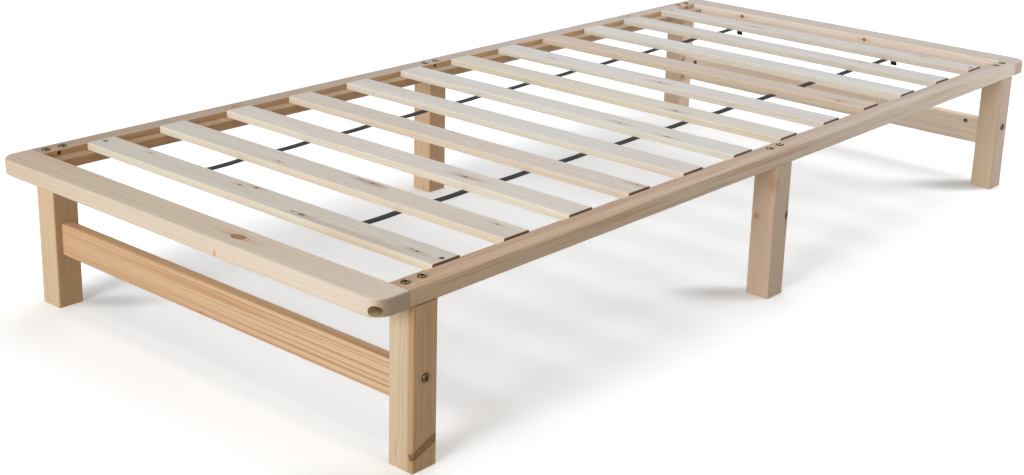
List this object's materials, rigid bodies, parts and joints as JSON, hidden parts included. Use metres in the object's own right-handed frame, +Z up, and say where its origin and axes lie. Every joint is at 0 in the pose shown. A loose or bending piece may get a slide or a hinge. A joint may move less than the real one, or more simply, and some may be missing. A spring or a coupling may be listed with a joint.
{
  "type": "low single bed base",
  "caption": "Low single bed base in solid pine: rebated side rails, rounded end rails, square legs, end stretchers and a strapped roll of slats.",
  "frame": {"origin": "on the floor under the middle of the bed", "axes": "+X from the foot end to the head end, +Y to the far side, +Z up"},
  "size_m": [2, 0.905, 0.2805],
  "materials": {
    "pine": "untreated planed pine",
    "dowel_wood": "plain turned hardwood",
    "brass": "dull, darkened brass-coloured plating",
    "zinc_steel": "bright zinc plating",
    "webbing": "woven black webbing"
  },
  "bodies": {
    "root": {"end_rail_foot": "pine", "end_rail_head": "pine", "side_rail_near": "pine", "side_rail_far": "pine", "leg_foot_near": "pine", "leg_foot_far": "pine", "leg_mid_near": "pine", "leg_mid_far": "pine", "leg_head_near": "pine", "leg_head_far": "pine", "stretcher_foot": "pine", "stretcher_head": "pine", "slat_01": "pine", "slat_02": "pine", "slat_03": "pine", "slat_04": "pine", "slat_05": "pine", "slat_06": "pine", "slat_07": "pine", "slat_08": "pine", "slat_09": "pine", "slat_10": "pine", "slat_11": "pine", "slat_12": "pine", "strap_near": "webbing", "strap_far": "webbing", "slat_screws": "brass", "leg_bolts": "brass", "corner_bolts": "brass", "stretcher_bolts": "brass", "barrel_nuts": "zinc_steel", "corner_dowels": "dowel_wood", "stretcher_dowels": "dowel_wood"}
  },
  "joints": []
}
